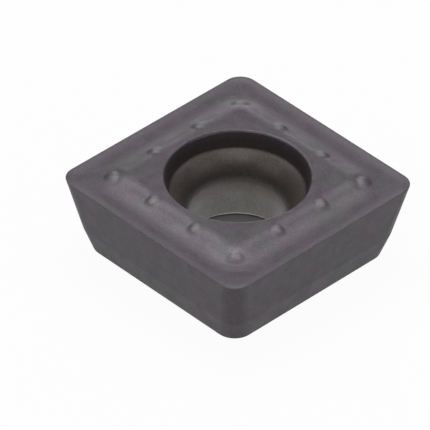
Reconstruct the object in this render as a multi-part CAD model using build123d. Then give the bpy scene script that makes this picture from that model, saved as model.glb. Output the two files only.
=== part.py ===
from build123d import *
import math
import os

# A square positive indexable insert of coated cemented carbide: one pressed and sintered body
# with a two-step clearance flank, a chip groove round its one cutting face, chip-breaking nubs
# on the shoulder of the raised plateau, and a screw hole with a rounded seat.
#
# Frame: Z is the axis of the screw hole and Z = 0 is the flat seat face. The four sides run
# parallel to X and Y. Lengths are in millimetres, angles in degrees.

# Body
INSCRIBED = 9.525  # diameter of the circle that the four cutting edges touch
THICKNESS = 3.18  # seat face to cutting edge
NOSE_R = 0.70  # corner radius at the cutting edge
NOSE_R_SEAT = 0.77  # corner radius at the seat face
PRIMARY_RELIEF = 11.0  # clearance angle of the flank below the cutting edge
SECONDARY_RELIEF = 15.5  # clearance angle of the flank above the seat face
BREAK_HEIGHT = 0.95  # seat face to the line where the two flanks meet

# Chip groove and plateau
LAND_WIDTH = 0.06  # flat strip behind the cutting edge
RAKE_ANGLE = 13.0  # slope at which the groove falls from the land
GROOVE_WIDTH = 1.55  # land to the edge of the square plateau round the hole
PLATEAU_RISE = 0.23  # plateau above the cutting edge
PLATEAU_ROUND = 1.10  # radius that rounds the plateau's edge into the shoulder
PLATEAU_CORNER_R = 0.40

# Chip-breaking nubs: low domes, each a ball sunk in the shoulder and blended into it
NUB_FILLET = 0.25  # round the foot of each nub
SIDE_NUB_R = 0.40
SIDE_NUB_CREST = 0.03  # crest above the plateau
SIDE_NUB_REACH = 0.04  # crest beyond the plateau's edge
SIDE_NUB_PITCH = 2.28  # distance between the two nubs of one side
CORNER_NUB_R = 0.70
CORNER_NUB_DROP = 0.09  # crest below the plateau
CORNER_NUB_REACH = 0.25  # crest beyond the plateau's corner

# Screw hole
RIM_R = 2.76  # mouth, at the plateau
RIM_ROUND = 0.10
RECESS_DEPTH = 0.68  # plateau to the top of the screw seat
RECESS_FLOOR_R = 2.58  # recess wall where it meets the screw seat
RECESS_FILLET = 0.10
SCREW_SEAT_R = 1.26  # radius of the rounded seat, which ends tangent to the bore
BORE_R = 1.90
BORE_CHAMFER = 0.15  # at the seat face

# Derived
HALF_EDGE = INSCRIBED / 2
HALF_GROOVE = HALF_EDGE - LAND_WIDTH
HALF_PLATEAU = HALF_GROOVE - GROOVE_WIDTH
PLATEAU_Z = THICKNESS + PLATEAU_RISE
HALF_BREAK = HALF_EDGE - (THICKNESS - BREAK_HEIGHT) * math.tan(math.radians(PRIMARY_RELIEF))
HALF_SEAT = HALF_BREAK - BREAK_HEIGHT * math.tan(math.radians(SECONDARY_RELIEF))

# The body repeats every quarter turn.
QUARTER = 90
SPINS = [Rot(0, 0, turn * QUARTER) for turn in range(4)]

# One arc shapes the groove: it leaves the land at the rake angle and ends on the plateau's edge.
GROOVE_TURN = math.radians(RAKE_ANGLE) + math.atan2(PLATEAU_RISE, GROOVE_WIDTH)
GROOVE_R = math.hypot(GROOVE_WIDTH, PLATEAU_RISE) / (2 * math.sin(GROOVE_TURN))
SHOULDER_ANGLE = 2 * math.degrees(GROOVE_TURN) - RAKE_ANGLE


def groove_point(slope):
    """Point of the groove's arc by its slope: distance from the hole's axis, and height."""
    angle, rake = math.radians(slope), math.radians(RAKE_ANGLE)
    out = HALF_GROOVE - GROOVE_R * (math.sin(angle) + math.sin(rake))
    return out, THICKNESS + GROOVE_R * (math.cos(rake) - math.cos(angle))


def outline(half, z):
    """One straight side of the body at height z, and the corner arc after it."""
    radius = NOSE_R_SEAT + (NOSE_R - NOSE_R_SEAT) * z / THICKNESS
    centre = half - radius
    side = Line((half, -centre, z), (half, centre, z))
    return side, CenterArc((centre, centre, z), radius, 0, QUARTER)


def flanks():
    """The body up to the cutting edge: flat flanks, and noses ruled from arc to arc."""
    seat, middle = outline(HALF_SEAT, 0), outline(HALF_BREAK, BREAK_HEIGHT)
    edge = outline(HALF_EDGE, THICKNESS)
    faces = [Face(Wire([spin * line for spin in SPINS for line in ring])) for ring in (seat, edge)]
    for (side, arc), (side_above, arc_above) in ((seat, middle), (middle, edge)):
        flank = Face(Wire.make_polygon([side @ 0, side @ 1, side_above @ 1, side_above @ 0]))
        nose = Face.make_surface_from_curves(arc.edge(), arc_above.edge())
        faces += [spin * face for spin in SPINS for face in (flank, nose)]
    return Solid(Shell(faces))


def groove_section(last):
    """Area between the hole's axis and the groove's arc, from its lowest point to a slope."""
    start, end = groove_point(0), groove_point(last)
    arc = ThreePointArc(start, groove_point(last / 2), end)
    return make_face(arc + Polyline(end, (0, end[1]), (0, start[1]), start))


def follow_sides(section, length):
    """The section's full width as two bars, along Y and along X, that cross at the hole."""
    full = Plane.XZ * (section + mirror(section, about=Plane.YZ))
    bar = extrude(full, amount=length / 2, both=True)
    return bar, Rot(0, 0, QUARTER) * bar


def turn_corners(section, centre):
    """A quarter turn of what the section has beyond a corner's axis, at all four corners."""
    beyond = section & Pos(centre, 0) * Rectangle(INSCRIBED, INSCRIBED, align=Align.MIN)
    plane = Plane((0, centre, 0), x_dir=(1, 0, 0), z_dir=(0, -1, 0))
    corner = revolve(plane * beyond, Axis((centre, centre, 0), (0, 0, 1)), QUARTER)
    return [spin * corner for spin in SPINS]


def pocket():
    """What the groove takes out inside the land: it follows the sides and goes round the noses."""
    section = groove_section(-RAKE_ANGLE)
    centre = HALF_EDGE - NOSE_R
    along_y, along_x = follow_sides(section, INSCRIBED)
    post = Pos(centre, centre, 0) * Box(NOSE_R, NOSE_R, PLATEAU_Z, align=Align.MIN)
    mitred = (along_y & along_x) - [spin * post for spin in SPINS]
    return mitred + turn_corners(section, centre)


def mound():
    """The raised middle: a flat plateau whose shoulder sweeps down to the groove's floor."""
    section = groove_section(SHOULDER_ANGLE)
    edge = section.vertices().sort_by_distance((HALF_PLATEAU, PLATEAU_Z))[0]
    section = fillet(edge, PLATEAU_ROUND)
    centre = HALF_PLATEAU - PLATEAU_CORNER_R
    along_y, along_x = follow_sides(section, 2 * centre)
    return along_y + along_x + turn_corners(section, centre)


def nub(radius, crest, distance):
    """A ball with its crest above the plateau, at a distance from the hole's axis along X."""
    return Pos(distance, 0, PLATEAU_Z + crest - radius) * Sphere(radius)


def nubs():
    """Two nubs on each side of the plateau and one at each corner."""
    side = nub(SIDE_NUB_R, SIDE_NUB_CREST, HALF_PLATEAU + SIDE_NUB_REACH)
    offset = SIDE_NUB_PITCH / 2
    centre = HALF_PLATEAU - PLATEAU_CORNER_R
    tip = math.hypot(centre, centre) + PLATEAU_CORNER_R
    corner = Rot(0, 0, QUARTER / 2) * nub(CORNER_NUB_R, -CORNER_NUB_DROP, tip + CORNER_NUB_REACH)
    group = [Pos(0, -offset, 0) * side, Pos(0, offset, 0) * side, corner]
    return [spin * item for spin in SPINS for item in group]


def screw_hole():
    """Recess with a drafted wall and a rounded rim, rounded screw seat, bore and its chamfer."""
    past = THICKNESS  # the cut runs this far past both faces
    seat_top = (RECESS_FLOOR_R, PLATEAU_Z - RECESS_DEPTH)
    arc_r = BORE_R + SCREW_SEAT_R
    rise = math.sqrt(SCREW_SEAT_R**2 - (arc_r - RECESS_FLOOR_R) ** 2)
    sweep = math.degrees(math.atan2(rise, arc_r - RECESS_FLOOR_R))
    seat = CenterArc((arc_r, seat_top[1] - rise), SCREW_SEAT_R, 180, -sweep)
    mouth = BORE_R + BORE_CHAMFER
    below = Polyline((0, -past), (mouth + past, -past), (mouth, 0), (BORE_R, BORE_CHAMFER), seat @ 0)
    rim = (RIM_R, PLATEAU_Z)
    ledge = RIM_R + 2 * RIM_ROUND
    above = Polyline(seat_top, rim, (ledge, PLATEAU_Z), (ledge, PLATEAU_Z + past), (0, PLATEAU_Z + past))
    section = make_face(below + seat + above + Line((0, PLATEAU_Z + past), (0, -past)))
    section = fillet(section.vertices().sort_by_distance(seat_top)[0], RECESS_FILLET)
    section = fillet(section.vertices().sort_by_distance(rim)[0], RIM_ROUND)
    return revolve(Plane.XZ * section, Axis.Z)


def insert():
    """The whole insert, with each nub blended into the surface that it stands on."""
    body, group = flanks() - pocket() + mound(), nubs()
    studded = body + group
    feet = new_edges(body, *group, combined=studded)
    return fillet(feet, NUB_FILLET) - screw_hole()


if __name__ == "__main__":
    os.makedirs("parts", exist_ok=True)
    export_step(insert(), "parts/insert.step")
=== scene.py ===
import math

import bpy
from mathutils import Matrix, Vector

# A square insert of coated carbide on a pale table. The insert is the CAD node itself, whose mesh
# stays as it is; this script gives it its coat, and adds the camera, the table and the lamps.

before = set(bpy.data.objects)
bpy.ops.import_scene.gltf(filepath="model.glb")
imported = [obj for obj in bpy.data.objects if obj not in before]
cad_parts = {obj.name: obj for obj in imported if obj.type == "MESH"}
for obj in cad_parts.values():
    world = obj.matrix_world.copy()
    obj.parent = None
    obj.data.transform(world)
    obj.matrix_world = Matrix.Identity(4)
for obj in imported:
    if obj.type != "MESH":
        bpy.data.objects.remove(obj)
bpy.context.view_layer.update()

MM = 0.001


def direction(azimuth, elevation):
    """Unit vector by its azimuth, from -Y towards +X, and its elevation, both in degrees."""
    turn, lift = math.radians(azimuth), math.radians(elevation)
    return Vector((math.sin(turn) * math.cos(lift), -math.cos(turn) * math.cos(lift), math.sin(lift)))


# --- Camera: a very long lens, a corner towards it, seen from well above -------------------------
IMAGE_PX = 430
SENSOR_MM = 36.0
TARGET = Vector((0, 0, 1.905 * MM))
DISTANCE = 237.75 * MM
FOCAL_PX = 6334.7
AZIMUTH = -44.461
ELEVATION = 38.338
ROLL = 0.836
TARGET_PX = (237.39, 207.27)  # where the target lies in the picture, from its top left
CLIP_START, CLIP_END = 0.01, 5.0


def make_camera():
    """The camera of the photo; its axis is turned aside to bring the target to its pixel."""
    turn, roll = math.radians(AZIMUTH), math.radians(ROLL)
    back = direction(AZIMUTH, ELEVATION)
    level = Vector((math.cos(turn), math.sin(turn), 0))
    upright = back.cross(level)
    right = level * math.cos(roll) + upright * math.sin(roll)
    up = upright * math.cos(roll) - level * math.sin(roll)
    aside = (TARGET_PX[0] - IMAGE_PX / 2) / FOCAL_PX
    above = (IMAGE_PX / 2 - TARGET_PX[1]) / FOCAL_PX
    look = (back + right * aside + up * above).normalized()
    across = (right - look * right.dot(look)).normalized()
    data = bpy.data.cameras.new("camera")
    data.sensor_width = SENSOR_MM
    data.lens = FOCAL_PX * SENSOR_MM / IMAGE_PX
    data.clip_start, data.clip_end = CLIP_START, CLIP_END
    camera = bpy.data.objects.new("camera", data)
    bpy.context.collection.objects.link(camera)
    axes = Matrix((across, look.cross(across), look)).transposed()
    camera.matrix_world = Matrix.Translation(TARGET + back * DISTANCE) @ axes.to_4x4()
    bpy.context.scene.camera = camera


# --- Material tools -------------------------------------------------------------------------------
def node_tree(name):
    """A new material and its empty node tree."""
    material = bpy.data.materials.new(name)
    material.use_nodes = True
    tree = material.node_tree
    tree.nodes.clear()
    return material, tree


def add(tree, kind, **values):
    """A node; each value is one of its settings, or the source or default of one of its sockets."""
    node = tree.nodes.new(kind)
    for key, value in values.items():
        socket = key.replace("_", " ")
        if isinstance(value, bpy.types.NodeSocket):
            tree.links.new(value, node.inputs[socket])
        elif hasattr(node, key):
            setattr(node, key, value)
        else:
            node.inputs[socket].default_value = value
    return node


def math_node(tree, operation, *operands):
    """A math node; each operand is a socket or a number."""
    node = add(tree, "ShaderNodeMath", operation=operation)
    for socket, operand in zip(node.inputs, operands):
        if isinstance(operand, bpy.types.NodeSocket):
            tree.links.new(operand, socket)
        else:
            socket.default_value = operand
    return node.outputs[0]


def ramp(tree, source, low, high, to_low=0.0, to_high=1.0):
    """Maps a socket's range to another one, with both ends held."""
    node = add(tree, "ShaderNodeMapRange", clamp=True, Value=source, From_Min=low, From_Max=high)
    node.inputs["To Min"].default_value = to_low
    node.inputs["To Max"].default_value = to_high
    return node.outputs[0]


def mix(tree, kind, factor, first, second):
    """A blend of two colours (kind RGBA) or of two vectors (VECTOR); each is a socket or a tuple."""
    node = add(tree, "ShaderNodeMix", data_type=kind, Factor=factor)
    ends = [socket for socket in node.inputs if socket.type == kind and socket.name in ("A", "B")]
    for socket, end in zip(ends, (first, second)):
        if isinstance(end, bpy.types.NodeSocket):
            tree.links.new(end, socket)
        else:
            socket.default_value = end
    return [socket for socket in node.outputs if socket.type == kind][0]


def noise(tree, coords, size, detail, roughness=0.5):
    """Noise whose features are about this long, in metres; it lies mostly between 0.3 and 0.7."""
    node = add(tree, "ShaderNodeTexNoise", Vector=coords, Scale=1 / size, Detail=detail)
    node.inputs["Roughness"].default_value = roughness
    return node.outputs["Fac"]


def flat_length(tree, x, y):
    """Length of a horizontal vector."""
    flat = add(tree, "ShaderNodeCombineXYZ", X=x, Y=y)
    length = add(tree, "ShaderNodeVectorMath", operation="LENGTH", Vector=flat.outputs[0])
    return length.outputs["Value"]


def mix_shader(tree, factor, first, second):
    """A blend of two shader nodes."""
    node = add(tree, "ShaderNodeMixShader", Fac=factor)
    for socket, shader in zip(node.inputs[1:], (first, second)):
        tree.links.new(shader.outputs[0], socket)
    return node


# --- The coat -------------------------------------------------------------------------------------
VIOLET = (0.127, 0.106, 0.127, 1)
GREY = (0.117, 0.110, 0.119, 1)
SHADED_RECESS_BROWN = (0.080, 0.067, 0.065, 1)  # wall of the recess, darkened: painted shade in the recess
BROWN = (0.122, 0.104, 0.098, 1)  # screw seat, where the coat is thinner
BORE_PAINTED_LIGHT = (0.178, 0.168, 0.158, 1)  # lighter down the bore: painted light for the pale table that the bore mirrors
WORN = (0.190, 0.180, 0.182, 1)  # edges
PAINTED_CREST_GLINT = (0.240, 0.224, 0.236, 1)  # painted glint on the crests of the nubs
METALLIC = 0.45
ROUGHNESS = (0.33, 0.43)
HONING = 0.05 * MM  # radius on the sharp edges, in the shading only
WORN_FROM, WORN_FULL = 0.99, 0.90  # cosines of the angle between the honed and the true normal
WEAR = (0.2, 0.6)  # least and most wear along an edge
PATCH_SIZE = 1.6 * MM  # soft patches of violet and grey
SATIN_SIZE = 0.5 * MM  # areas of more and less roughness
WEAR_SIZE = 0.25 * MM  # stretches of more and less wear
GRAIN_SIZE, GRAIN_DEPTH = 0.07 * MM, 0.003 * MM  # sinter grain
GRAIN_TINT = (0.80, 1.20)  # darkest and lightest grain

# Places on the insert: distances from the hole's axis or its two middle planes, and heights
HOLE_R = 2.76 * MM
SEAT_TOP = 2.73 * MM
BORE_TOP = 1.61 * MM
WALL_FADE, BORE_FADE = 0.10 * MM, 0.5 * MM  # stretches over which the colour changes
SIDE_NUB_AT = (3.20 * MM, 1.14 * MM)
CORNER_NUB_AT = (3.24 * MM, 3.24 * MM)
NUB_REACH = 0.45 * MM
SIDE_NUB_LEVELLING, CORNER_NUB_LEVELLING = 0.5, 0.15  # share of upright in the shading normal
TOP_FROM, TOP_FULL = 3.0 * MM, 3.1 * MM  # heights between which the nubs' shading sets in


def nub_distance(tree, place, far, near):
    """Distance, seen from above, from the nearest crest of one kind of nub.

    Far and near are the greater and the lesser distance from the two middle planes.
    """
    x, y = (math_node(tree, "SUBTRACT", *pair) for pair in zip((far, near), place))
    return flat_length(tree, x, y)


def coat_colour(tree, coords):
    """Soft patches of tint outside the hole; in the hole a painted shade on the recess wall, and brown
    that turns to painted light down the bore.
    """
    x, y, z = add(tree, "ShaderNodeSeparateXYZ", Vector=coords).outputs
    patches = ramp(tree, noise(tree, coords, PATCH_SIZE, 2.0), 0.38, 0.62)
    outside = mix(tree, "RGBA", patches, VIOLET, GREY)
    # lighter towards the bottom of the bore, painted light
    deep = ramp(tree, z, BORE_TOP - BORE_FADE, BORE_TOP, 1.0, 0.0)
    # the recess wall takes a darker brown, painted shade
    wall = ramp(tree, z, SEAT_TOP - WALL_FADE / 2, SEAT_TOP + WALL_FADE / 2)
    hole = mix(tree, "RGBA", wall, mix(tree, "RGBA", deep, BROWN, BORE_PAINTED_LIGHT), SHADED_RECESS_BROWN)
    inside = ramp(tree, flat_length(tree, x, y), HOLE_R - WALL_FADE, HOLE_R, 1.0, 0.0)
    return mix(tree, "RGBA", inside, outside, hole)


def edge_wear(tree, coords, honed):
    """How much a place is rubbed, which is more where honing turns the normal further."""
    normal = add(tree, "ShaderNodeNewGeometry").outputs["Normal"]
    facing = add(tree, "ShaderNodeVectorMath", operation="DOT_PRODUCT")
    tree.links.new(honed, facing.inputs[0])
    tree.links.new(normal, facing.inputs[1])
    edge = ramp(tree, facing.outputs["Value"], WORN_FROM, WORN_FULL)
    rubbed = ramp(tree, noise(tree, coords, WEAR_SIZE, 3.0), 0.40, 0.65, *WEAR)
    return math_node(tree, "MULTIPLY", edge, rubbed)


def nub_masks(tree, coords):
    """How much a place is a nub's crest, which gets a painted glint, and how far its shading turns
    upright, as on a softer nub.
    """
    x, y, z = add(tree, "ShaderNodeSeparateXYZ", Vector=coords).outputs
    x, y = (math_node(tree, "ABSOLUTE", socket) for socket in (x, y))
    far, near = math_node(tree, "MAXIMUM", x, y), math_node(tree, "MINIMUM", x, y)
    side = nub_distance(tree, SIDE_NUB_AT, far, near)
    corner = nub_distance(tree, CORNER_NUB_AT, far, near)
    nearest = math_node(tree, "MINIMUM", side, corner)
    crest = ramp(tree, nearest, 0.0, 0.5 * NUB_REACH, 1.0, 0.0)
    level_side = ramp(tree, side, 0.5 * NUB_REACH, NUB_REACH, SIDE_NUB_LEVELLING, 0.0)
    level_corner = ramp(tree, corner, 0.5 * NUB_REACH, NUB_REACH, CORNER_NUB_LEVELLING, 0.0)
    levelling = math_node(tree, "MAXIMUM", level_side, level_corner)
    top = ramp(tree, z, TOP_FROM, TOP_FULL)
    return math_node(tree, "MULTIPLY", crest, top), math_node(tree, "MULTIPLY", levelling, top)


def coated_carbide():
    """Violet-grey satin coat with sinter grain, on honed and slightly worn edges."""
    material, tree = node_tree("coated_carbide")
    coords = add(tree, "ShaderNodeTexCoord").outputs["Object"]
    honed = add(tree, "ShaderNodeBevel", samples=6, Radius=HONING).outputs[0]
    crest, levelling = nub_masks(tree, coords)
    grain = noise(tree, coords, GRAIN_SIZE, 3.0, 0.6)

    colour = mix(tree, "RGBA", edge_wear(tree, coords, honed), coat_colour(tree, coords), WORN)
    # painted glint on the nubs' crests
    colour = mix(tree, "RGBA", crest, colour, PAINTED_CREST_GLINT)
    speckle = ramp(tree, grain, 0.30, 0.70, *GRAIN_TINT)
    shade = add(tree, "ShaderNodeVectorMath", operation="SCALE", Vector=colour, Scale=speckle)
    satin = ramp(tree, noise(tree, coords, SATIN_SIZE, 3.0), 0.35, 0.65, *ROUGHNESS)

    bump = add(tree, "ShaderNodeBump", Strength=1.0, Distance=GRAIN_DEPTH, Height=grain, Normal=honed)
    level = mix(tree, "VECTOR", levelling, bump.outputs[0], (0, 0, 1))
    normal = add(tree, "ShaderNodeVectorMath", operation="NORMALIZE", Vector=level)

    skin = add(tree, "ShaderNodeBsdfPrincipled", Base_Color=shade.outputs[0], Metallic=METALLIC)
    tree.links.new(satin, skin.inputs["Roughness"])
    tree.links.new(normal.outputs[0], skin.inputs["Normal"])
    add(tree, "ShaderNodeOutputMaterial", Surface=skin.outputs[0])
    return material


# --- Table and world ------------------------------------------------------------------------------
WHITE = (1, 1, 1, 1)
TABLE_HALF = 0.6
TABLE_DROP = 0.02 * MM  # keeps the table clear of the seat face
TABLE_GREY = (0.28, 0.28, 0.28, 1)
TABLE_WHITE = (0.95, 0.95, 0.95, 1)
SEEN_WHITE = 0.95  # share of plain white in what the camera sees of the table
MIRRORED_WHITE = 0.58  # the same in what the insert mirrors
SHADED_R = 2.4 * MM  # under the bore the camera sees the grey table, a painted shadow, and the bore mirrors full white, a painted reflection
ROOM_LIGHT = 0.10


def table_material():
    """Grey to the light, but near white to the camera, which still sees the insert's shadow."""
    material, tree = node_tree("table")
    path = add(tree, "ShaderNodeLightPath")
    coords = add(tree, "ShaderNodeTexCoord").outputs["Object"]
    x, y, _ = add(tree, "ShaderNodeSeparateXYZ", Vector=coords).outputs
    # under the insert the camera loses the white, a painted shadow, and the bore mirrors full white, a
    # painted reflection
    open_table = ramp(tree, flat_length(tree, x, y), SHADED_R, SHADED_R + MM)
    seen = math_node(tree, "MULTIPLY", path.outputs["Is Camera Ray"], open_table)
    seen_share = math_node(tree, "MULTIPLY", seen, SEEN_WHITE)
    mirrored = ramp(tree, open_table, 0.0, 1.0, 1.0, MIRRORED_WHITE)
    mirrored_share = math_node(tree, "MULTIPLY", path.outputs["Is Glossy Ray"], mirrored)
    paint = add(tree, "ShaderNodeBsdfDiffuse", Color=mix(tree, "RGBA", seen, TABLE_GREY, TABLE_WHITE))
    white = add(tree, "ShaderNodeEmission", Color=WHITE, Strength=1.0)
    surface = mix_shader(tree, math_node(tree, "ADD", seen_share, mirrored_share), paint, white)
    add(tree, "ShaderNodeOutputMaterial", Surface=surface.outputs[0])
    return material


def make_table():
    corners = [(x * TABLE_HALF, y * TABLE_HALF, 0) for x, y in ((-1, -1), (1, -1), (1, 1), (-1, 1))]
    mesh = bpy.data.meshes.new("table")
    mesh.from_pydata(corners, [], [(0, 1, 2, 3)])
    mesh.materials.append(table_material())
    table = bpy.data.objects.new("table", mesh)
    bpy.context.collection.objects.link(table)
    table.location.z = -TABLE_DROP


def make_world():
    """A dim room that looks white to the camera."""
    world = bpy.data.worlds.new("studio")
    world.use_nodes = True
    tree = world.node_tree
    tree.nodes.clear()
    dim = add(tree, "ShaderNodeBackground", Color=WHITE, Strength=ROOM_LIGHT)
    white = add(tree, "ShaderNodeBackground", Color=WHITE, Strength=1.0)
    seen = add(tree, "ShaderNodeLightPath").outputs["Is Camera Ray"]
    add(tree, "ShaderNodeOutputWorld", Surface=mix_shader(tree, seen, dim, white).outputs[0])
    bpy.context.scene.world = world


# --- Lamps: square softboxes that face the insert ---------------------------------------------------
LAMP_DISTANCE = 0.30
LAMP_SIZE = 0.20
LOW_LAMP_SIZE = 0.13


def softbox(name, azimuth, elevation, radiance, size=LAMP_SIZE):
    """A lamp by its radiance, so that it is equally bright at any size."""
    way = direction(azimuth, elevation)
    data = bpy.data.lights.new(name, "AREA")
    data.shape = "SQUARE"
    data.size = size
    data.energy = radiance * math.pi * size * size
    lamp = bpy.data.objects.new(name, data)
    bpy.context.collection.objects.link(lamp)
    lamp.location = TARGET + way * LAMP_DISTANCE
    lamp.rotation_mode = "QUATERNION"
    lamp.rotation_quaternion = way.to_track_quat("Z", "Y")


make_camera()
coat = coated_carbide()
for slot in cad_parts["insert"].material_slots:
    slot.material = coat

make_table()
make_world()
softbox("back_left", azimuth=180, elevation=60, radiance=1.85)
softbox("back_right", azimuth=90, elevation=60, radiance=1.28)
softbox("back", azimuth=135, elevation=66, radiance=0.90)
softbox("back_low", azimuth=135, elevation=12, radiance=1.65, size=LOW_LAMP_SIZE)
softbox("front", azimuth=315, elevation=60, radiance=1.05)
softbox("left", azimuth=250, elevation=32, radiance=0.50)
softbox("right", azimuth=22, elevation=32, radiance=0.45)
softbox("overhead", azimuth=135, elevation=88, radiance=0.60)

bpy.context.scene.view_settings.view_transform = "Standard"
